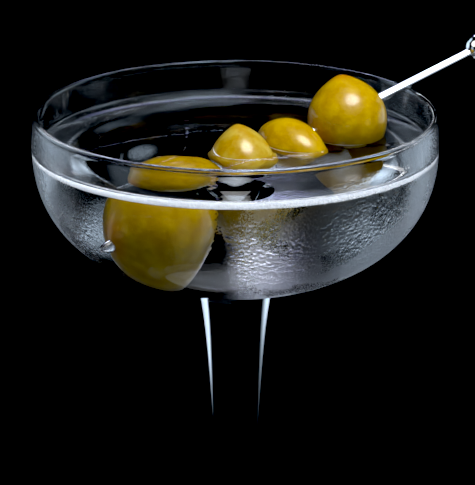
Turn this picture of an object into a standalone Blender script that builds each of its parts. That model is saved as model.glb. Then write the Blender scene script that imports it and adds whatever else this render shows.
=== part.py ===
"""A stemmed coupe that holds a martini, with four olives on a steel pick. Metres, +Z up.

The origin is the centre of the foot's underside. The glass is turned about Z. The pick lies on the
rim, with its ball end outside the glass and the olives in the drink.
"""

import math

import bmesh
import bpy
from mathutils import Matrix, Vector

MM = 0.001
GAP = 0.3 * MM  # left between pieces that touch

# The glass.
HEIGHT = 140.0 * MM
BOWL_RADIUS = 50.4 * MM  # outside, at its widest
WIDEST_BELOW_RIM = 7.1 * MM
BOWL_DROP = 36.7 * MM  # from the widest place to the outside of the bottom
BOWL_FULLNESS = 2.3  # exponent of the bowl's section: 2 is an ellipse, and more is squarer
NECK_IN = 0.65 * MM  # how far the wall leans in from the widest place to the rim
WALL = 1.3 * MM
BASE_THICKNESS = 2.4 * MM
BEAD_RADIUS = 0.72 * MM  # the rounded lip
RIM_RADIUS = 50.0 * MM

# The stem: an even taper, with a flare at each end that dies away over its reach.
STEM_RADIUS = 5.2 * MM  # of the taper at WAIST_HEIGHT
WAIST_HEIGHT = 42.0 * MM
STEM_TAPER = 0.045
STEM_JOIN_RADIUS = 9.4 * MM  # of the seam under the bowl
SHOULDER_HEIGHT = 94.0 * MM
UPPER_FLARE = 1.6 * MM  # at SHOULDER_HEIGHT
UPPER_REACH = 10.0 * MM
LOWER_FLARE = 5.1 * MM  # at FOOT_JOIN_HEIGHT
LOWER_REACH = 6.0 * MM

# The foot.
FOOT_RADIUS = 35.0 * MM
FOOT_EDGE = 1.8 * MM
FOOT_JOIN_HEIGHT = 5.8 * MM
FOOT_JOIN_RADIUS = 8.8 * MM
FOOT_RISE = 3.3 * MM  # at FOOT_JOIN_RADIUS
FOOT_REACH = 6.5 * MM

# The drink.
LEVEL_BELOW_RIM = 11.1 * MM
MENISCUS = 2.4 * MM  # height of the wetted edge
MENISCUS_WIDTH = 3.0 * MM

# The pick. Its heading is measured from +X towards +Y, and its rise from the horizontal.
PICK_RADIUS = 1.2 * MM
PICK_LENGTH = 112.0 * MM  # from the tip to the far side of the ball
PICK_HEADING = math.radians(28.0)
PICK_RISE = math.radians(18.1)
REST_ANGLE = math.radians(26.35)  # where round the rim the pick lies
REST_FROM_TIP = 86.3 * MM
POINT_LENGTH = 4.0 * MM
POINT_RADIUS = 0.3 * MM
BALL_RADIUS = 3.8 * MM
SHAFT_INTO_BALL = 2.2 * MM

# Olives: distance from the pick's tip, how far the centre hangs below the pick's line, radius, half
# length, and the heading and elevation in degrees of the long axis, which ends at the olive's
# nipple. The last one is threaded lengthwise.
OLIVES = {
    "olive_1": (67.45 * MM, 0.7 * MM, 9.9 * MM, 11.0 * MM, 150, 79),
    "olive_2": (50.75 * MM, 1.05 * MM, 6.2 * MM, 10.3 * MM, 138, 14),
    "olive_3": (36.5 * MM, 0.4 * MM, 7.5 * MM, 11.4 * MM, 140, 80),
    "olive_4": (16.2 * MM, 0.2 * MM, 10.3 * MM, 11.9 * MM, 208, -12),
}
NIPPLE_PULL = 0.45  # how much the skin draws in towards the nipple
NIPPLE_SPREAD = 0.75  # over what part of the outline, in radians

OLIVE_ROOM = 0.45 * MM  # between an olive and its hollow in the drink

GLASS_SIDES = 40
OLIVE_SIDES = 20
PICK_SIDES = 12
BOWL_STEPS = 11

BOWL_CENTRE = HEIGHT - WIDEST_BELOW_RIM
LEVEL = HEIGHT - LEVEL_BELOW_RIM
INNER_RADIUS = BOWL_RADIUS - WALL
INNER_DROP = BOWL_DROP - BASE_THICKNESS


def clear_scene():
    for obj in list(bpy.data.objects):
        bpy.data.objects.remove(obj)


def material(name, colour, roughness, metallic=0.0, transmission=0.0):
    made = bpy.data.materials.new(name)
    made.use_nodes = True
    shader = made.node_tree.nodes["Principled BSDF"]
    shader.inputs["Base Color"].default_value = (*colour, 1.0)
    shader.inputs["Roughness"].default_value = roughness
    shader.inputs["Metallic"].default_value = metallic
    shader.inputs["Transmission Weight"].default_value = transmission
    return made


def turned(name, outline, sides, finish=None):
    """A solid of revolution about its own Z. The outline's two ends are on the axis."""
    mesh = bpy.data.meshes.new(name)
    bm = bmesh.new()
    points = [bm.verts.new((radius, 0.0, z)) for radius, z in outline]
    edges = [bm.edges.new(pair) for pair in zip(points, points[1:])]
    bmesh.ops.spin(
        bm,
        geom=points + edges,
        cent=(0, 0, 0),
        axis=(0, 0, 1),
        angle=math.tau,
        steps=sides,
        use_merge=True,
    )
    bmesh.ops.remove_doubles(bm, verts=bm.verts, dist=1e-7)
    bmesh.ops.recalc_face_normals(bm, faces=bm.faces)
    bm.to_mesh(mesh)
    bm.free()
    mesh.shade_smooth()
    mesh.set_sharp_from_angle(angle=math.radians(40))
    obj = bpy.data.objects.new(name, mesh)
    bpy.context.scene.collection.objects.link(obj)
    if finish:
        mesh.materials.append(finish)
    return obj


def cut(obj, cutter):
    modifier = obj.modifiers.new(f"cut_{cutter.name}", "BOOLEAN")
    modifier.operation = "DIFFERENCE"
    modifier.solver = "EXACT"
    modifier.object = cutter


def as_cutter(obj):
    obj.hide_render = True
    obj.display_type = "WIRE"
    return obj


def steps(first, last, count):
    """count + 1 evenly spaced values."""
    return [first + (last - first) * i / count for i in range(count + 1)]


def section_point(angle, radius, drop):
    """A point of the bowl's section: angle 0 is the widest place, and a right angle the bottom."""
    power = 2 / BOWL_FULLNESS
    across = radius * max(0.0, math.cos(angle)) ** power
    return across, BOWL_CENTRE - drop * math.sin(angle) ** power


def section_height(across, radius, drop):
    share = (across / radius) ** BOWL_FULLNESS
    return BOWL_CENTRE - drop * (1 - share) ** (1 / BOWL_FULLNESS)


def neck_radius(z, radius):
    return radius - NECK_IN * ((z - BOWL_CENTRE) / WIDEST_BELOW_RIM) ** 2


def circle_arc(centre, radius, first, last, count):
    angles = steps(first, last, count)
    return [(centre[0] + radius * math.cos(a), centre[1] + radius * math.sin(a)) for a in angles]


def make_bowl(finish):
    bead_centre = (RIM_RADIUS - BEAD_RADIUS, HEIGHT - BEAD_RADIUS)
    bead = circle_arc(bead_centre, BEAD_RADIUS, math.radians(-35), math.radians(215), 6)
    under_bead = bead[0][1] - BEAD_RADIUS / 4
    neck = steps(BOWL_CENTRE, under_bead, 2)[1:]
    rise = steps(math.pi / 2, 0.0, BOWL_STEPS)
    outside = [section_point(angle, BOWL_RADIUS, BOWL_DROP) for angle in rise]
    outside[0] = (0.0, BOWL_CENTRE - BOWL_DROP)
    outside += [(neck_radius(z, BOWL_RADIUS), z) for z in neck]
    inside = [(neck_radius(z, INNER_RADIUS), z) for z in reversed(neck)]
    inside += [section_point(angle, INNER_RADIUS, INNER_DROP) for angle in reversed(rise)]
    inside[-1] = (0.0, BOWL_CENTRE - INNER_DROP)
    return turned("bowl", outside + bead + inside, GLASS_SIDES, finish)


def stem_radius(z):
    taper = STEM_RADIUS + STEM_TAPER * (z - WAIST_HEIGHT)
    upper_flare = UPPER_FLARE * math.exp((z - SHOULDER_HEIGHT) / UPPER_REACH)
    lower_flare = LOWER_FLARE * math.exp((FOOT_JOIN_HEIGHT - z) / LOWER_REACH)
    return taper + upper_flare + lower_flare


def make_stem(finish):
    top = [
        (across, section_height(across, BOWL_RADIUS, BOWL_DROP) - GAP)
        for across in steps(0.0, STEM_JOIN_RADIUS, 3)
    ]
    shoulder = top[-1][1]
    upper = steps(shoulder - UPPER_FLARE / 2, shoulder - 3 * UPPER_REACH, 6)
    lower = steps(FOOT_JOIN_HEIGHT + 3 * LOWER_REACH, FOOT_JOIN_HEIGHT, 6)
    outside = [(stem_radius(z), z) for z in upper + [WAIST_HEIGHT] + lower]
    return turned("stem", top + outside + [(0.0, FOOT_JOIN_HEIGHT)], GLASS_SIDES, finish)


def foot_height(across):
    return FOOT_EDGE + FOOT_RISE * math.exp((FOOT_JOIN_RADIUS - across) / FOOT_REACH)


def make_foot(finish):
    edge = FOOT_EDGE / 2
    rim = circle_arc((FOOT_RADIUS - edge, edge), edge, -math.pi / 2, math.pi / 2, 5)
    slope = steps(FOOT_RADIUS - FOOT_EDGE, FOOT_JOIN_RADIUS + 2 * GAP, 7)
    top = [(across, foot_height(across)) for across in slope]
    seam = FOOT_JOIN_HEIGHT - GAP
    outline = [(0.0, 0.0)] + rim + top + [(FOOT_JOIN_RADIUS, seam), (0.0, seam)]
    return turned("foot", outline, GLASS_SIDES, finish)


def pick_line():
    """The pick's direction, the direction square to it that points up, and the place of its tip."""
    level = Vector((math.cos(PICK_HEADING), math.sin(PICK_HEADING), 0))
    along = level * math.cos(PICK_RISE) + Vector((0, 0, math.sin(PICK_RISE)))
    upright = along.cross(Vector((0, 0, 1))).normalized().cross(along)
    bead_radius = RIM_RADIUS - BEAD_RADIUS
    bead = Vector((bead_radius * math.cos(REST_ANGLE), bead_radius * math.sin(REST_ANGLE), 0))
    bead.z = HEIGHT - BEAD_RADIUS
    over_rim = bead + upright * (BEAD_RADIUS + GAP + PICK_RADIUS)
    return along, upright, over_rim - along * REST_FROM_TIP


def facing(direction):
    return direction.to_track_quat("Z", "Y").to_matrix().to_4x4()


def place(obj, point, direction):
    obj.matrix_world = Matrix.Translation(point) @ facing(direction)
    return obj


def pick_outline(length, swell=0.0):
    """The wire, from its tip at the origin up +Z. swell makes the hole that it lies in."""
    point = POINT_RADIUS + swell
    shank = PICK_RADIUS + swell
    return [(0.0, length), (shank, length), (shank, POINT_LENGTH), (point, -swell), (0.0, -swell)]


def make_pick(finish, along, tip):
    """The wire and the ball, and the hole that the wire needs through whatever it passes."""
    ball_centre = tip + along * (PICK_LENGTH - BALL_RADIUS)
    length = PICK_LENGTH - 2 * BALL_RADIUS + SHAFT_INTO_BALL
    place(turned("pick_shaft", pick_outline(length), PICK_SIDES, finish), tip, along)
    bore = as_cutter(turned("pick_bore", pick_outline(length + GAP, GAP), PICK_SIDES))
    place(bore, tip, along)
    half = math.pi / 2
    circle = circle_arc((0, 0), BALL_RADIUS, half, -half, 10)
    circle[0], circle[-1] = (0.0, BALL_RADIUS), (0.0, -BALL_RADIUS)
    ball = place(turned("pick_ball", circle, OLIVE_SIDES, finish), ball_centre, along)
    cut(ball, bore)
    return bore


def olive_outline(radius, half_length):
    outline = []
    for angle in steps(0.0, math.pi, 12):
        draw_in = 1 - NIPPLE_PULL * math.exp(-((angle / NIPPLE_SPREAD) ** 2))
        outline.append((radius * math.sin(angle) * draw_in, half_length * math.cos(angle)))
    outline[0], outline[-1] = (0.0, half_length), (0.0, -half_length)
    return outline


def direction_of(heading, elevation):
    level = math.cos(elevation)
    return Vector((level * math.cos(heading), level * math.sin(heading), math.sin(elevation)))


def threaded(obj, on_pick, axis, hang):
    """Puts a solid on the pick: its origin on the pick's line, and its body moved off it by hang."""
    turn = facing(axis)
    obj.data.transform(Matrix.Translation(turn.inverted() @ hang))
    return place(obj, on_pick, axis)


def make_olives(finish, along, upright, tip, bore):
    """The olives, and the hollows that they need in the drink."""
    hollows = []
    for name, (distance, drop, radius, half_length, heading, elevation) in OLIVES.items():
        on_pick, hang = tip + along * distance, -upright * drop
        axis = direction_of(math.radians(heading), math.radians(elevation))
        olive = turned(name, olive_outline(radius, half_length), OLIVE_SIDES, finish)
        cut(threaded(olive, on_pick, axis, hang), bore)
        wider = olive_outline(radius + OLIVE_ROOM, half_length + OLIVE_ROOM)
        hollow = as_cutter(turned(f"hollow_{name}", wider, OLIVE_SIDES))
        hollows.append(threaded(hollow, on_pick, axis, hang))
    return hollows


def make_drink(finish, cutters):
    radius, drop = INNER_RADIUS - GAP, INNER_DROP - GAP
    edge = LEVEL + MENISCUS
    last = math.asin(((BOWL_CENTRE - edge) / drop) ** (BOWL_FULLNESS / 2))
    rise = steps(math.pi / 2, last, BOWL_STEPS)
    side = [section_point(angle, radius, drop) for angle in rise]
    side[0] = (0.0, BOWL_CENTRE - drop)
    wall = side[-1][0]
    surface = [
        (wall - MENISCUS_WIDTH / 3, LEVEL + MENISCUS / 3),
        (wall - MENISCUS_WIDTH, LEVEL),
        (0.0, LEVEL),
    ]
    drink = turned("drink", side + surface, GLASS_SIDES, finish)
    for cutter in cutters:
        cut(drink, cutter)
    return drink


def main():
    clear_scene()
    clear_glass = material("clear_glass", (0.93, 0.95, 0.96), 0.02, transmission=1.0)
    clear_drink = material("clear_drink", (0.90, 0.93, 0.93), 0.0, transmission=1.0)
    steel = material("polished_steel", (0.72, 0.72, 0.72), 0.12, metallic=1.0)
    olive_skin = material("olive_skin", (0.42, 0.30, 0.02), 0.3)
    make_bowl(clear_glass)
    make_stem(clear_glass)
    make_foot(clear_glass)
    along, upright, tip = pick_line()
    bore = make_pick(steel, along, tip)
    hollows = make_olives(olive_skin, along, upright, tip, bore)
    make_drink(clear_drink, hollows + [bore])


main()
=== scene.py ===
"""Looks for the coupe: seamless glass, cold drink, olives on a steel pick, studio light and camera.

Metres, +Z up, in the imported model's frame: the origin is the centre of the foot's underside. The
camera looks along +Y from above, so the near side has negative y and the left side negative x.
"""

import math

import bmesh
import bpy
from mathutils import Matrix, Vector
from mathutils.bvhtree import BVHTree


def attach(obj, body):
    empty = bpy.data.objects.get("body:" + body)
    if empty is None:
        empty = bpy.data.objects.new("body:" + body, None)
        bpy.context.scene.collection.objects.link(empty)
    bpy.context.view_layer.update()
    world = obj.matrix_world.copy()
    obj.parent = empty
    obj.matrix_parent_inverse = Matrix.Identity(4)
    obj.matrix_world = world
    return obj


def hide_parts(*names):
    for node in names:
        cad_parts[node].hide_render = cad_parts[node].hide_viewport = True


MM = 0.001
RIGHT = math.pi / 2

# The glass, as in the CAD model.
HEIGHT = 140.0 * MM
BOWL_RADIUS = 50.4 * MM
BOWL_CENTRE = HEIGHT - 7.1 * MM
BOWL_DROP = 36.7 * MM
BOWL_FULLNESS = 2.3
NECK_IN = 0.65 * MM
WALL = 1.3 * MM
BASE_THICKNESS = 2.4 * MM
INNER_RADIUS = BOWL_RADIUS - WALL
INNER_DROP = BOWL_DROP - BASE_THICKNESS
BEAD_RADIUS = 0.72 * MM
RIM_RADIUS = 50.0 * MM
STEM_RADIUS = 5.2 * MM
WAIST_HEIGHT = 42.0 * MM
STEM_TAPER = 0.045
STEM_TOP = 94.5 * MM
STEM_JOIN_RADIUS = 9.4 * MM
SHOULDER_HEIGHT = 94.0 * MM
UPPER_FLARE = 1.6 * MM
UPPER_REACH = 10.0 * MM
LOWER_FLARE = 5.1 * MM
LOWER_REACH = 6.0 * MM
FOOT_RADIUS = 35.0 * MM
FOOT_EDGE = 1.8 * MM
FOOT_JOIN_HEIGHT = 5.8 * MM
FOOT_JOIN_RADIUS = 8.8 * MM
FOOT_RISE = 3.3 * MM
FOOT_REACH = 6.5 * MM
GLASS_SIDES = 192
GLASS_IOR = 1.5

# The drink. The climb at the glass dies away over its reach.
LEVEL = HEIGHT - 11.1 * MM  # the CAD drink's level, and this one lies above it: see surface_height
WALL_CLIMB = 3.0 * MM  # how far the drink climbs the glass
WALL_REACH = 1.7 * MM
OLIVE_CLIMB = 0.8 * MM  # what an olive adds, squared, to the square of the climb at the glass
OLIVE_REACH = 1.0 * MM
INTO_WALL = 0.15 * MM  # how deep the drink reaches into the glass, so that no air shows between
DRINK_SIDES = 360
DRINK_IOR = 1.34
# The rings of its surface, as distances from the glass in mm: close where it climbs, then even.
CLIMBING_RINGS = (0.25, 0.4, 0.6, 0.85, 1.1, 1.4, 1.8, 2.2, 2.7, 3.3, 4.0)
EVEN_RINGS_START = 4.4
EVEN_RINGS = 130

# The painted highlight round the near side: a white wedge on the glass where the drink wets it, standing
# in for the light its meniscus catches. Its foot and top are above the level.
MENISCUS_GLINT_START = math.radians(186)
MENISCUS_GLINT_END = math.radians(354)
MENISCUS_GLINT_FOOT = 1.3 * MM
MENISCUS_GLINT_TOP = WALL_CLIMB - 0.06 * MM
MENISCUS_GLINT_DEPTH = 1.3 * MM

# The bright line at an olive's foot, a painted highlight of its meniscus, from its left end to its right
# end.
LINE_START = math.radians(185)
LINE_END = math.radians(300)
LINE_RADIUS = 0.24 * MM
LINE_RISE = 1.6 * MM  # how much higher its left end stands
BEYOND_OLIVE = 25 * MM

# The pick.
PICK_RADIUS = 1.2 * MM
PICK_LENGTH = 112.0 * MM
PICK_HEADING = math.radians(28.0)
PICK_RISE = math.radians(18.1)
REST_ANGLE = math.radians(26.35)
REST_FROM_TIP = 86.3 * MM
GAP = 0.3 * MM
POINT_LENGTH = 4.0 * MM
POINT_BLUNTNESS = 0.3 * MM
BALL_RADIUS = 3.8 * MM
COLLAR_RADIUS = 1.22 * MM
COLLAR_START = 4.6 * MM  # behind the ball's centre, like the lip
COLLAR_LIP_RADIUS = 1.26 * MM
COLLAR_LIP = 4.1 * MM

# Olives: distance from the pick's tip, how far the centre hangs below the pick's line, radius, half
# length, and the heading and elevation in degrees of the long axis.
OLIVES = {
    "olive_1": (67.45 * MM, 0.7 * MM, 10.0 * MM, 11.0 * MM, 150, 79),
    "olive_2": (50.75 * MM, 1.05 * MM, 6.9 * MM, 10.6 * MM, 138, 14),
    "olive_3": (36.5 * MM, 0.4 * MM, 8.85 * MM, 11.4 * MM, 140, 80),
    "olive_4": (16.2 * MM, 0.2 * MM, 10.6 * MM, 12.2 * MM, 208, -12),
}
# Where neighbours press each other flat, as distances from the pick's tip.
PRESSED = {
    "olive_1": (57.45 * MM, 78.0 * MM),
    "olive_2": (44.45 * MM, 57.3 * MM),
    "olive_3": (28.5 * MM, 44.3 * MM),
    "olive_4": (3.0 * MM, 28.35 * MM),
}
NIPPLE_PULL = 0.45
NIPPLE_SPREAD = 0.75
PALE_OLIVE = "olive_3"
# painted shade: this olive's skin colour is darkened for the light the drink over it would take
PAINTED_SHADE_OLIVE = "olive_4"

# Fog on the bowl's outside. Each pair is where it starts to change and where it has changed.
FOG_NEAR_SIDE = (-12 * MM, 8 * MM)  # y: full on the near side, none behind
FOG_LOW_DOWN = (100 * MM, 108 * MM)  # z: thin all round low down, none above
WINDOW_CENTRE = -19 * MM  # x of the clear window in front of olive 4
FOG_WINDOW = (11 * MM, 25 * MM)  # from the window's centre: next to none, then full
FOG_SIDES = (36 * MM, 48 * MM)  # from the middle: above the drink's edge it is only at the sides
FOG_TOP = (LEVEL + 2.5 * MM, LEVEL + 3.5 * MM)  # z: the drink's edge
FOG_MILK = (96 * MM, 110 * MM)  # z: milky low down, nearly clear above
LIP_CLEAR = 1.5 * MM  # how much of the lip's top has no fog


def steps(first, last, count):
    """count + 1 evenly spaced values."""
    return [first + (last - first) * i / count for i in range(count + 1)]


# ---------------------------------------------------------------- meshes


def object_from(bm, name, sharp=None):
    """The finished object, smooth but for edges over the sharp angle in degrees, if one is given."""
    mesh = bpy.data.meshes.new(name)
    bmesh.ops.recalc_face_normals(bm, faces=bm.faces)
    bm.to_mesh(mesh)
    bm.free()
    mesh.shade_smooth()
    if sharp is not None:
        mesh.set_sharp_from_angle(angle=math.radians(sharp))
    obj = bpy.data.objects.new(name, mesh)
    bpy.context.scene.collection.objects.link(obj)
    return obj


def join(bm, lower, upper):
    """The band of faces between two rings of vertices."""
    for i in range(len(lower)):
        j = (i + 1) % len(lower)
        bm.faces.new((lower[i], lower[j], upper[j], upper[i]))


def close_tube(bm, rings):
    """The faces of a tube through the rings, with both its ends closed."""
    for first, second in zip(rings, rings[1:]):
        join(bm, first, second)
    bm.faces.new(rings[0])
    bm.faces.new(rings[-1])


def turned(name, outline, sides):
    """A solid of revolution about its own Z. The outline's two ends are on the axis."""
    bm = bmesh.new()
    points = [bm.verts.new((radius, 0.0, z)) for radius, z in outline]
    edges = [bm.edges.new(pair) for pair in zip(points, points[1:])]
    bmesh.ops.spin(
        bm,
        geom=points + edges,
        cent=(0, 0, 0),
        axis=(0, 0, 1),
        angle=math.tau,
        steps=sides,
        use_merge=True,
    )
    bmesh.ops.remove_doubles(bm, verts=bm.verts, dist=1e-7)
    return object_from(bm, name, sharp=60)


def section_point(angle, radius, drop):
    """A point of the bowl's section: angle 0 is the widest place, and a right angle the bottom."""
    power = 2 / BOWL_FULLNESS
    across = radius * max(0.0, math.cos(angle)) ** power
    return across, BOWL_CENTRE - drop * math.sin(angle) ** power


def section_radius(z, radius, drop):
    depth = min(1.0, max(0.0, (BOWL_CENTRE - z) / drop))
    return radius * (1 - depth**BOWL_FULLNESS) ** (1 / BOWL_FULLNESS)


WALL_AT_LEVEL = section_radius(LEVEL, INNER_RADIUS, INNER_DROP)


def neck_radius(z, radius):
    return radius - NECK_IN * ((z - BOWL_CENTRE) / (HEIGHT - BOWL_CENTRE)) ** 2


def circle_arc(centre, radius, first, last, count):
    angles = steps(first, last, count)
    return [(centre[0] + radius * math.cos(a), centre[1] + radius * math.sin(a)) for a in angles]


def stem_radius(z):
    taper = STEM_RADIUS + STEM_TAPER * (z - WAIST_HEIGHT)
    upper_flare = UPPER_FLARE * math.exp((z - SHOULDER_HEIGHT) / UPPER_REACH)
    lower_flare = LOWER_FLARE * math.exp((FOOT_JOIN_HEIGHT - z) / LOWER_REACH)
    return taper + upper_flare + lower_flare


def foot_height(across):
    return FOOT_EDGE + FOOT_RISE * math.exp((FOOT_JOIN_RADIUS - across) / FOOT_REACH)


def glass_outline():
    edge = FOOT_EDGE / 2
    foot = [(0.0, 0.0)]
    foot += circle_arc((FOOT_RADIUS - edge, edge), edge, -RIGHT, RIGHT, 8)
    slope = steps(FOOT_RADIUS - 1.5 * edge, FOOT_JOIN_RADIUS + 0.8 * MM, 24)
    foot += [(across, foot_height(across)) for across in slope]
    stem = [(stem_radius(z), z) for z in steps(FOOT_JOIN_HEIGHT, STEM_TOP, 60)]
    angles = steps(RIGHT, 0.0, 72)
    bowl = [section_point(a, BOWL_RADIUS, BOWL_DROP) for a in angles]
    bowl = [point for point in bowl if point[0] > STEM_JOIN_RADIUS]
    bead_centre = (RIM_RADIUS - BEAD_RADIUS, HEIGHT - BEAD_RADIUS)
    bead = circle_arc(bead_centre, BEAD_RADIUS, math.radians(-35), math.radians(215), 14)
    neck = steps(BOWL_CENTRE, bead[0][1] - BEAD_RADIUS / 4, 8)[1:]
    outside = [(neck_radius(z, BOWL_RADIUS), z) for z in neck]
    inside = [(neck_radius(z, INNER_RADIUS), z) for z in reversed(neck)]
    inside += [section_point(a, INNER_RADIUS, INNER_DROP) for a in reversed(angles)]
    inside[-1] = (0.0, BOWL_CENTRE - INNER_DROP)
    return foot + stem + bowl + outside + bead + inside


def is_cold(place):
    """Whether the place is on the bowl's outside, clear of the stem and of the lip's top."""
    across = math.hypot(place.x, place.y)
    mid_radius, mid_drop = (BOWL_RADIUS + INNER_RADIUS) / 2, (BOWL_DROP + INNER_DROP) / 2
    outside = across > section_radius(place.z, mid_radius, mid_drop)
    on_bowl = BOWL_CENTRE - BOWL_DROP < place.z < HEIGHT - LIP_CLEAR
    return outside and on_bowl and across > STEM_JOIN_RADIUS


def pick_line():
    """The pick's direction, the direction square to it that points up, and the place of its tip."""
    level = Vector((math.cos(PICK_HEADING), math.sin(PICK_HEADING), 0))
    along = level * math.cos(PICK_RISE) + Vector((0, 0, math.sin(PICK_RISE)))
    upright = along.cross(Vector((0, 0, 1))).normalized().cross(along)
    bead_radius = RIM_RADIUS - BEAD_RADIUS
    bead = Vector((bead_radius * math.cos(REST_ANGLE), bead_radius * math.sin(REST_ANGLE), 0))
    bead.z = HEIGHT - BEAD_RADIUS
    over_rim = bead + upright * (BEAD_RADIUS + GAP + PICK_RADIUS)
    return along, upright, over_rim - along * REST_FROM_TIP


def facing(direction):
    return direction.to_track_quat("Z", "Y").to_matrix().to_4x4()


def direction_of(heading, elevation):
    level = math.cos(elevation)
    return Vector((level * math.cos(heading), level * math.sin(heading), math.sin(elevation)))


def make_pick(along, tip):
    point = [(0.0, 0.0), (0.12 * MM, 0.02 * MM), (POINT_BLUNTNESS, 0.25 * MM)]
    for share in steps(0.1, 1.0, 14):
        swell = (PICK_RADIUS - POINT_BLUNTNESS) * math.sin(RIGHT * share) ** 0.9
        point.append((POINT_BLUNTNESS + swell, POINT_LENGTH * share))
    length = PICK_LENGTH - BALL_RADIUS
    shaft = turned("pick_shaft_visual", point + [(PICK_RADIUS, length), (0.0, length)], 48)
    shaft.matrix_world = Matrix.Translation(tip) @ facing(along)
    start, lip = -COLLAR_START, -COLLAR_LIP
    collar = [(0.0, start), (COLLAR_RADIUS, start), (COLLAR_LIP_RADIUS, lip)]
    angles = steps(0.34, math.pi, 48)
    round_part = [(BALL_RADIUS * math.sin(a), -BALL_RADIUS * math.cos(a)) for a in angles]
    round_part[-1] = (0.0, BALL_RADIUS)
    ball = turned("pick_ball_visual", collar + round_part, 64)
    ball.matrix_world = Matrix.Translation(tip + along * length) @ facing(along)
    return shaft, ball


def olive_outline(radius, half_length, count):
    outline = []
    for angle in steps(0.0, math.pi, count):
        draw_in = 1 - NIPPLE_PULL * math.exp(-((angle / NIPPLE_SPREAD) ** 2))
        outline.append((radius * math.sin(angle) * draw_in, half_length * math.cos(angle)))
    outline[0], outline[-1] = (0.0, half_length), (0.0, -half_length)
    return outline


def soft_limit(value, lowest, highest, softness=0.5 * MM):
    """The value, eased off as it nears either limit, and never past it."""
    far = 60.0  # this many softnesses from a limit, easing changes nothing
    for limit, way in ((highest, 1), (lowest, -1)):
        room = (limit - value) * way / softness
        if room < far:
            value = limit - way * softness * math.log1p(math.exp(room))
    return value


def make_olive(name, along, upright, tip):
    distance, drop, radius, half_length, heading, elevation = OLIVES[name]
    obj = turned(f"{name}_visual", olive_outline(radius, half_length, 64), 96)
    turn = facing(direction_of(math.radians(heading), math.radians(elevation)))
    obj.matrix_world = Matrix.Translation(tip + along * distance) @ turn
    obj.data.transform(Matrix.Translation(turn.inverted() @ (-upright * drop)))
    first, last = PRESSED[name]
    to_local = obj.matrix_world.inverted()
    for vertex in obj.data.vertices:
        place = obj.matrix_world @ vertex.co
        reach = (place - tip).dot(along)
        pressed = soft_limit(reach, first, last)
        vertex.co = to_local @ (place + along * (pressed - reach))
    return obj


def tree_of(obj):
    """A BVH tree of the object's mesh in the frame's own space. Its normals are not turned with it."""
    bm = bmesh.new()
    bm.from_mesh(obj.data)
    bm.transform(obj.matrix_world)
    tree = BVHTree.FromBMesh(bm)
    bm.free()
    return tree


def surface_height(x, y, trees):
    """The height of the drink's surface, which climbs the glass.

    An olive adds its climb wherever the inside test holds. The trees' normals are not turned with
    the olives, so the test also holds over most of the open drink. The surface there has two flats,
    1.4 and 1.6 mm above LEVEL, with steps of 0.2 mm between them, and it does not climb the olives.
    """
    point = Vector((x, y, LEVEL))
    away = max(0.0, WALL_AT_LEVEL - math.hypot(x, y))
    climb = WALL_CLIMB * math.exp(-away / WALL_REACH)
    for tree in trees:
        place, normal, _, distance = tree.find_nearest(point)
        if (point - place).dot(normal) < 0:
            distance = 0.0
        climb = math.hypot(climb, OLIVE_CLIMB * math.exp(-distance / OLIVE_REACH))
    return LEVEL + climb


def make_drink(olives):
    """A closed solid: the bowl's inside as far as the wetted edge, and the surface over it."""
    radius, drop = INNER_RADIUS + INTO_WALL, INNER_DROP + INTO_WALL
    edge = LEVEL + WALL_CLIMB
    last = math.asin(((BOWL_CENTRE - edge) / drop) ** (BOWL_FULLNESS / 2))
    side = [section_point(angle, radius, drop) for angle in steps(RIGHT, last, 60)[1:]]
    wall = side[-1][0]
    inward = [wall - distance * MM for distance in CLIMBING_RINGS]
    inward += steps(wall - EVEN_RINGS_START * MM, 0.0, EVEN_RINGS)[:-1]
    trees = [tree_of(olive) for olive in olives]
    turns = [math.tau * i / DRINK_SIDES for i in range(DRINK_SIDES)]
    around = [(math.cos(turn), math.sin(turn)) for turn in turns]
    bm = bmesh.new()
    bottom = bm.verts.new((0, 0, BOWL_CENTRE - drop))
    rings = [[bm.verts.new((across * c, across * s, z)) for c, s in around] for across, z in side]
    for across in inward:
        places = [(across * c, across * s) for c, s in around]
        rings.append([bm.verts.new((x, y, surface_height(x, y, trees))) for x, y in places])
    top = bm.verts.new((0, 0, surface_height(0, 0, trees)))
    for i in range(DRINK_SIDES):
        j = (i + 1) % DRINK_SIDES
        bm.faces.new((bottom, rings[0][j], rings[0][i]))
        bm.faces.new((top, rings[-1][i], rings[-1][j]))
    for lower, upper in zip(rings, rings[1:]):
        join(bm, lower, upper)
    return object_from(bm, "drink_visual", sharp=75)


def make_meniscus_glint():
    """The white line where the drink wets the near side, a painted highlight: a wedge that tapers to its
    two ends.
    """
    bm = bmesh.new()
    foot = LEVEL + MENISCUS_GLINT_FOOT
    rings = []
    for share in steps(0.0, 1.0, 240):
        swell = max(0.02, math.sin(math.pi * share) ** 0.35)
        height = (MENISCUS_GLINT_TOP - MENISCUS_GLINT_FOOT) * swell
        on_glass = [foot + height * up for up in steps(0.0, 1.0, 6)]
        section = [(section_radius(z, INNER_RADIUS, INNER_DROP) + 0.05 * MM, z) for z in on_glass]
        for inward in steps(0.15, 1.0, 6):
            depth = (0.04 * MM + MENISCUS_GLINT_DEPTH * inward**1.4) * swell
            slope = math.exp(-2.4 * inward) * (1 - inward)
            section.append((WALL_AT_LEVEL - depth, foot + height * slope))
        azimuth = MENISCUS_GLINT_START + (MENISCUS_GLINT_END - MENISCUS_GLINT_START) * share
        c, s = math.cos(azimuth), math.sin(azimuth)
        rings.append([bm.verts.new((across * c, across * s, z)) for across, z in section])
    close_tube(bm, rings)
    return object_from(bm, "wet_edge_visual", sharp=60)


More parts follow.
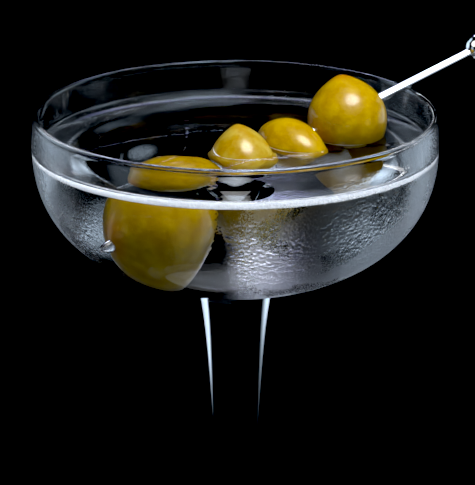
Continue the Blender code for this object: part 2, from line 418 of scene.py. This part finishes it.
def make_waterline_glint(name, tree, centre):
    """A bright line along an olive's near left side, a painted highlight: over the drink at its left
    end, then just under.
    """
    bm = bmesh.new()
    rings = []
    for share in steps(0.0, 1.0, 60):
        azimuth = LINE_START + (LINE_END - LINE_START) * share
        outward = Vector((math.cos(azimuth), math.sin(azimuth), 0))
        rise = OLIVE_CLIMB + LINE_RISE * (1 - share) ** 3
        start = Vector((centre.x, centre.y, LEVEL + rise)) + outward * BEYOND_OLIVE
        place, normal, _, _ = tree.ray_cast(start, -outward)
        if place is None:
            continue
        thickness = LINE_RADIUS * math.sin(math.pi * min(1.0, 0.06 + 0.9 * share)) ** 0.5
        side = normal.cross(Vector((0, 0, 1))).cross(normal).normalized()
        turns = steps(0.0, math.tau, 10)[:-1]
        spokes = [(normal * math.cos(turn) + side * math.sin(turn)) * thickness for turn in turns]
        rings.append([bm.verts.new(place + spoke) for spoke in spokes])
    close_tube(bm, rings)
    return object_from(bm, name)


# ---------------------------------------------------------------- materials


def new_material(name, settings):
    """A material, its node tree and its shader, with the shader's inputs set as given."""
    material = bpy.data.materials.new(name)
    material.use_nodes = True
    tree = material.node_tree
    shader = tree.nodes["Principled BSDF"]
    for key, value in settings.items():
        shader.inputs[key].default_value = value
    return material, tree, shader


def node(tree, kind, **settings):
    """A new node. Each setting is an input or, where no input has its name, a property."""
    made = tree.nodes.new(kind)
    for key, value in settings.items():
        if key in made.inputs:
            made.inputs[key].default_value = value
        else:
            setattr(made, key, value)
    return made


def feed(tree, socket, value):
    """Gives the socket the value, which is a number or another node's output."""
    if isinstance(value, (int, float)):
        socket.default_value = value
    else:
        tree.links.new(value, socket)


def maths(tree, operation, *values):
    made = node(tree, "ShaderNodeMath", operation=operation)
    for socket, value in zip(made.inputs, values):
        feed(tree, socket, value)
    return made.outputs["Value"]


def product(tree, first, second):
    return maths(tree, "MULTIPLY", first, second)


def axes_of(tree, place):
    """The x, y and z of the place."""
    parts = node(tree, "ShaderNodeSeparateXYZ")
    tree.links.new(place, parts.inputs["Vector"])
    return parts.outputs["X"], parts.outputs["Y"], parts.outputs["Z"]


def mapped(tree, value, start, end, to_start, to_end):
    """The value, taken smoothly from one range to another and kept inside it."""
    ranges = {"From Min": start, "From Max": end, "To Min": to_start, "To Max": to_end}
    made = node(tree, "ShaderNodeMapRange", interpolation_type="SMOOTHSTEP", **ranges)
    tree.links.new(value, made.inputs["Value"])
    return made.outputs["Result"]


def noise(tree, where, scale, detail):
    made = node(tree, "ShaderNodeTexNoise", Scale=scale, Detail=detail)
    tree.links.new(where, made.inputs["Vector"])
    return made.outputs["Fac"]


def bumped(tree, height, strength, distance, under=None):
    made = node(tree, "ShaderNodeBump", Distance=distance)
    feed(tree, made.inputs["Strength"], strength)
    tree.links.new(height, made.inputs["Height"])
    if under:
        tree.links.new(under, made.inputs["Normal"])
    return made.outputs["Normal"]


def glass_material(name, ior):
    settings = {"Base Color": (1, 1, 1, 1), "Roughness": 0.0, "Transmission Weight": 1.0, "IOR": ior}
    return new_material(name, settings)


def cold_glass_material():
    """The bowl's outside, where the drink chills it: beads of water on a film, milky low down.

    The fog is thick on the near side, but for thin patches and a clear window in front of olive 4.
    Low down it also goes round behind, thinly. It ends at the drink's edge, but at the sides of the
    bowl it reaches the lip.
    """
    material, tree, shader = glass_material("cold_glass", GLASS_IOR)
    where = node(tree, "ShaderNodeNewGeometry").outputs["Position"]
    x, y, z = axes_of(tree, where)
    near_side = mapped(tree, y, *FOG_NEAR_SIDE, 1.0, 0.0)
    low_down = mapped(tree, z, *FOG_LOW_DOWN, 0.35, 0.0)
    thickness = maths(tree, "MAXIMUM", near_side, low_down)
    from_window = maths(tree, "ABSOLUTE", maths(tree, "ADD", x, -WINDOW_CENTRE))
    outside_window = mapped(tree, from_window, *FOG_WINDOW, 0.03, 1.0)
    patches = mapped(tree, noise(tree, where, 75.0, 2.0), 0.36, 0.5, 0.75, 1.0)
    at_the_sides = mapped(tree, maths(tree, "ABSOLUTE", x), *FOG_SIDES, 0.0, 0.7)
    below_the_edge = mapped(tree, z, *FOG_TOP, 1.0, 0.0)
    reach = maths(tree, "MAXIMUM", below_the_edge, at_the_sides)
    fog = product(tree, product(tree, product(tree, thickness, outside_window), patches), reach)
    film = mapped(tree, noise(tree, where, 2600.0, 1.0), 0.4, 0.65, 0.28, 0.4)
    tree.links.new(product(tree, fog, film), shader.inputs["Roughness"])
    milk = mapped(tree, z, *FOG_MILK, 0.4, 0.1)
    clearness = mapped(tree, product(tree, fog, milk), 0.0, 1.0, 1.0, 0.0)
    tree.links.new(clearness, shader.inputs["Transmission Weight"])
    beads = node(tree, "ShaderNodeTexVoronoi", feature="SMOOTH_F1", Scale=1300.0, Smoothness=0.6)
    tree.links.new(where, beads.inputs["Vector"])
    small = bumped(tree, beads.outputs["Distance"], product(tree, fog, 0.5), 0.22 * MM)
    large = bumped(tree, noise(tree, where, 420.0, 3.0), product(tree, fog, 0.32), 0.5 * MM, small)
    tree.links.new(large, shader.inputs["Normal"])
    return material


def meniscus_glint_material():
    """Painted highlight: a white skin that takes the light in and glows, standing in for the light the
    meniscus catches at the wetted edge. Its bump makes fine bubbles and beads.
    """
    settings = {
        "Base Color": (0.93, 0.95, 0.97, 1),
        "Subsurface Weight": 1.0,
        "Subsurface Radius": (1.0, 1.0, 1.0),
        "Subsurface Scale": 2.0 * MM,
        "Roughness": 0.2,
    }
    material, tree, shader = new_material("painted_meniscus_glint", settings)
    where = node(tree, "ShaderNodeNewGeometry").outputs["Position"]
    beads = bumped(tree, noise(tree, where, 1500.0, 2.0), 0.6, 0.3 * MM)
    tree.links.new(beads, shader.inputs["Normal"])
    return material


def steel_material():
    settings = {"Base Color": (0.72, 0.72, 0.73, 1), "Metallic": 1.0, "Roughness": 0.12}
    return new_material("polished_steel", settings)[0]


def olive_material(name, half_length, paleness, painted_shade):
    """Cured olive: mottled yellow-green skin, browner at the nipple, wet and finely dimpled. Painted
    shade darkens the skin, standing in for light that the drink and glass, which cast no shadow, would
    take from it.
    """
    settings = {"Specular IOR Level": 0.3, "Coat Weight": 0.5, "Coat Roughness": 0.12}
    material, tree, shader = new_material(name, settings)
    links = tree.links
    where = node(tree, "ShaderNodeTexCoord").outputs["Object"]
    _, _, lengthwise = axes_of(tree, where)
    # painted shade: the flesh colour is darkened by this factor, not the olive's own colour
    painted_shade_factor = 1 - 0.25 * painted_shade
    green, blue = 0.34 * painted_shade_factor + 0.05 * paleness, 0.001 + 0.05 * paleness
    flesh = node(tree, "ShaderNodeMix", data_type="RGBA")
    flesh.inputs["A"].default_value = (0.42 * painted_shade_factor, 0.25 * painted_shade_factor, 0.0005, 1)
    flesh.inputs["B"].default_value = (0.52 * painted_shade_factor, green, blue, 1)
    mottles = mapped(tree, noise(tree, where, 260.0, 4.0), 0.35, 0.68, 0.0, 1.0)
    links.new(mottles, flesh.inputs["Factor"])
    brownness = 0.7 - 0.5 * paleness
    at_nipple = mapped(tree, lengthwise, 0.8 * half_length, 0.97 * half_length, 0.0, brownness)
    browned = node(tree, "ShaderNodeMix", data_type="RGBA")
    browned.inputs["B"].default_value = (0.42, 0.16, 0.003, 1)
    links.new(at_nipple, browned.inputs["Factor"])
    links.new(flesh.outputs["Result"], browned.inputs["A"])
    links.new(browned.outputs["Result"], shader.inputs["Base Color"])
    roughness = mapped(tree, noise(tree, where, 500.0, 3.0), 0.3, 0.7, 0.3, 0.5)
    links.new(roughness, shader.inputs["Roughness"])
    dimples = bumped(tree, noise(tree, where, 1100.0, 3.0), 0.35, 0.15 * MM)
    waves = bumped(tree, noise(tree, where, 230.0, 2.0), 0.5, 0.6 * MM, dimples)
    links.new(waves, shader.inputs["Normal"])
    return material


# ---------------------------------------------------------------- the object

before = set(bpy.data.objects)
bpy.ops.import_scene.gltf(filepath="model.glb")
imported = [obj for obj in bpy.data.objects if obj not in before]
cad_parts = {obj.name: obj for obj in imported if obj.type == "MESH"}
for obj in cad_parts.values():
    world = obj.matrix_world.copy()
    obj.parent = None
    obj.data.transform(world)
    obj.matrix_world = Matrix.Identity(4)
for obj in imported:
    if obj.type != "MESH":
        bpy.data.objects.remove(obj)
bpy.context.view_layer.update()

along, upright, tip = pick_line()

glass = turned("glass_visual", glass_outline(), GLASS_SIDES)
glass.data.materials.append(glass_material("clear_glass", GLASS_IOR)[0])
glass.data.materials.append(cold_glass_material())
for face in glass.data.polygons:
    face.material_index = int(is_cold(face.center))

olives = []
for olive_name in OLIVES:
    olive = make_olive(olive_name, along, upright, tip)
    half_length = OLIVES[olive_name][3]
    paleness = 1.0 if olive_name == PALE_OLIVE else 0.0
    painted_shade = 1.0 if olive_name == PAINTED_SHADE_OLIVE else 0.0
    skin = olive_material(f"{olive_name}_skin", half_length, paleness, painted_shade)
    olive.data.materials.append(skin)
    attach(olive, olive_name)
    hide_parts(olive_name)
    olives.append(olive)

drink = make_drink(olives)
drink.data.materials.append(glass_material("clear_drink", DRINK_IOR)[0])

# Painted highlights: white glowing wedges at the wetted edge and along the olives' waterlines.
painted_glints = [make_meniscus_glint()]
for olive in olives[:3]:  # the fourth is under the drink
    corners = [olive.matrix_world @ Vector(corner) for corner in olive.bound_box]
    box_centre = sum(corners, Vector()) / len(corners)
    line_name = olive.name.replace("visual", "painted_waterline_glint")
    painted_glints.append(make_waterline_glint(line_name, tree_of(olive), box_centre))
glint_look = meniscus_glint_material()
for edge in painted_glints:
    edge.data.materials.append(glint_look)
    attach(edge, "drink")

shaft, ball = make_pick(along, tip)
steel = steel_material()
for obj in (shaft, ball):
    obj.data.materials.append(steel)

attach(glass, "glass")
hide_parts("bowl", "stem", "foot")
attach(drink, "drink")
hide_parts("drink")
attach(shaft, "pick")
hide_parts("pick_shaft")
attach(ball, "pick")
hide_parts("pick_ball")

for obj in (glass, drink):
    obj.visible_shadow = False  # light reaches the olives through them

# ---------------------------------------------------------------- the studio

FLOOR_RADIUS = 50 * MM  # small, because the stem carries a floor's light up into the drink
FLOOR_GAP = 0.2 * MM  # below the foot
AIM = Vector((0, 0, 0.115))  # what the lights face
LAMP_DISTANCE = 0.6
ABOVE = (0.13, -0.15, 0.62)
ABOVE_SIZE = (0.46, 0.40)
OVER_FLOOR = (0, -0.1, 0.5)
WHITE = (1, 1, 1)
COOL = (0.66, 0.82, 1.0)
NEARLY_WHITE = (0.9, 0.97, 1.0)
PURPLE = (0.45, 0.45, 1.0)
CAMERA_PITCH = math.radians(17.73)
CAMERA_TARGET = Vector((0.52 * MM, 0, HEIGHT - 33.72 * MM))
CAMERA_DISTANCE = 1.0
FOCAL_LENGTH = 297.8  # in millimetres, as Blender takes it
MOST_BOUNCES = 24
BLACK_LEVEL = 0.012

scene = bpy.context.scene

floor_mesh = bpy.data.meshes.new("floor")
bm = bmesh.new()
bmesh.ops.create_circle(bm, cap_ends=True, segments=128, radius=FLOOR_RADIUS)
bmesh.ops.translate(bm, verts=bm.verts, vec=(0, 0, -FLOOR_GAP))
bm.to_mesh(floor_mesh)
bm.free()
floor = bpy.data.objects.new("floor", floor_mesh)
scene.collection.objects.link(floor)
floor_look = {"Base Color": (0.75, 0.74, 0.72, 1), "Roughness": 0.7}
floor_mesh.materials.append(new_material("pale_floor", floor_look)[0])

world = bpy.data.worlds.new("dark_studio")
world.use_nodes = True
world.node_tree.nodes["Background"].inputs["Color"].default_value = (0.0, 0.0, 0.0, 1)
scene.world = world


def group(name, *pieces):
    """A collection of the pieces, for lights that reach nothing else."""
    made = bpy.data.collections.new(name)
    for piece in pieces:
        made.objects.link(piece)
    return made


def around(azimuth, elevation, distance=LAMP_DISTANCE):
    """The place that is seen from AIM at these angles in degrees."""
    return AIM + direction_of(math.radians(azimuth), math.radians(elevation)) * distance


def softbox(name, receivers, location, size, power, colour=WHITE, feather=0.6):
    """A soft light on the receivers. It dies away to nothing over its outer part, feather wide."""
    lamp = bpy.data.lights.new(name, "AREA")
    lamp.shape = "RECTANGLE"
    lamp.size, lamp.size_y = size
    lamp.energy = power
    lamp.color = colour
    lamp.use_nodes = True
    tree = lamp.node_tree
    centred = node(tree, "ShaderNodeMapping", Location=(-1, -1, 0), Scale=(2, 2, 1))
    on_lamp = node(tree, "ShaderNodeNewGeometry").outputs["Parametric"]
    tree.links.new(on_lamp, centred.inputs["Vector"])
    glow = node(tree, "ShaderNodeTexGradient", gradient_type="SPHERICAL")
    tree.links.new(centred.outputs["Vector"], glow.inputs["Vector"])
    strength = mapped(tree, glow.outputs["Fac"], 0.0, feather, 0.0, 1.0)
    tree.links.new(strength, tree.nodes["Emission"].inputs["Strength"])
    obj = bpy.data.objects.new(name, lamp)
    scene.collection.objects.link(obj)
    obj.location = location
    obj.rotation_mode = "QUATERNION"
    obj.rotation_quaternion = (AIM - Vector(location)).to_track_quat("-Z", "Y")
    obj.visible_camera = False
    obj.light_linking.receiver_collection = receivers
    return obj


pick_olives_and_glints = group("lit_from_above", shaft, ball, *olives, *painted_glints)
glass_and_glints = group("glass_and_its_painted_glints", glass, *painted_glints)
all_but_olives = group("lit_from_the_sides", glass, drink, shaft, ball, *painted_glints)
whole_pick = group("the_pick", shaft, ball)
just_ball = group("the_ball", ball)
just_floor = group("the_floor", floor)

softbox("top", pick_olives_and_glints, ABOVE, ABOVE_SIZE, 11.0)
top_on_glass = softbox("top_on_glass", glass_and_glints, ABOVE, ABOVE_SIZE, 6.0, COOL)
top_on_glass.visible_transmission = False
softbox("left_side", all_but_olives, around(151, 6), (0.64, 0.62), 2.0, COOL)
softbox("right_side", all_but_olives, around(31, -1.5), (0.5, 0.42), 1.0, COOL, feather=0.3)
softbox("pick_fill", whole_pick, around(312, 38, 0.5), (0.5, 0.7), 6.0)
softbox("ball_glow", just_ball, around(212, 42, 0.5), (0.5, 0.5), 3.0)
softbox("purple_glow", all_but_olives, around(90, 46), (0.5, 0.3), 1.4, PURPLE)
softbox("on_the_floor", just_floor, OVER_FLOOR, (0.5, 0.5), 2.4)
softbox("behind", all_but_olives, around(90, 54), (0.45, 0.3), 1.9, NEARLY_WHITE)
softbox("high_left", all_but_olives, around(145, 35), (0.4, 0.35), 0.6, COOL)
softbox("high_right", all_but_olives, around(12, 35), (0.4, 0.35), 1.0, COOL)
softbox("front_left", all_but_olives, around(208, 2), (0.3, 0.45), 0.35, COOL)
softbox("front_right", all_but_olives, around(332, 2), (0.3, 0.45), 0.35, COOL)

camera_data = bpy.data.cameras.new("camera")
camera = bpy.data.objects.new("camera", camera_data)
scene.collection.objects.link(camera)
back = Vector((0, -math.cos(CAMERA_PITCH), math.sin(CAMERA_PITCH)))
camera.location = CAMERA_TARGET + back * CAMERA_DISTANCE
camera.rotation_mode = "QUATERNION"
camera.rotation_quaternion = (-back).to_track_quat("-Z", "Y")
camera_data.sensor_width = 36
camera_data.lens = FOCAL_LENGTH
camera_data.clip_start = 0.01
scene.camera = camera

scene.cycles.max_bounces = MOST_BOUNCES
scene.cycles.transmission_bounces = MOST_BOUNCES
scene.cycles.glossy_bounces = MOST_BOUNCES // 2
scene.cycles.use_denoising = True
scene.view_settings.view_transform = "Standard"
scene.view_settings.use_curve_mapping = True
scene.view_settings.curve_mapping.black_level = (BLACK_LEVEL, BLACK_LEVEL, BLACK_LEVEL)
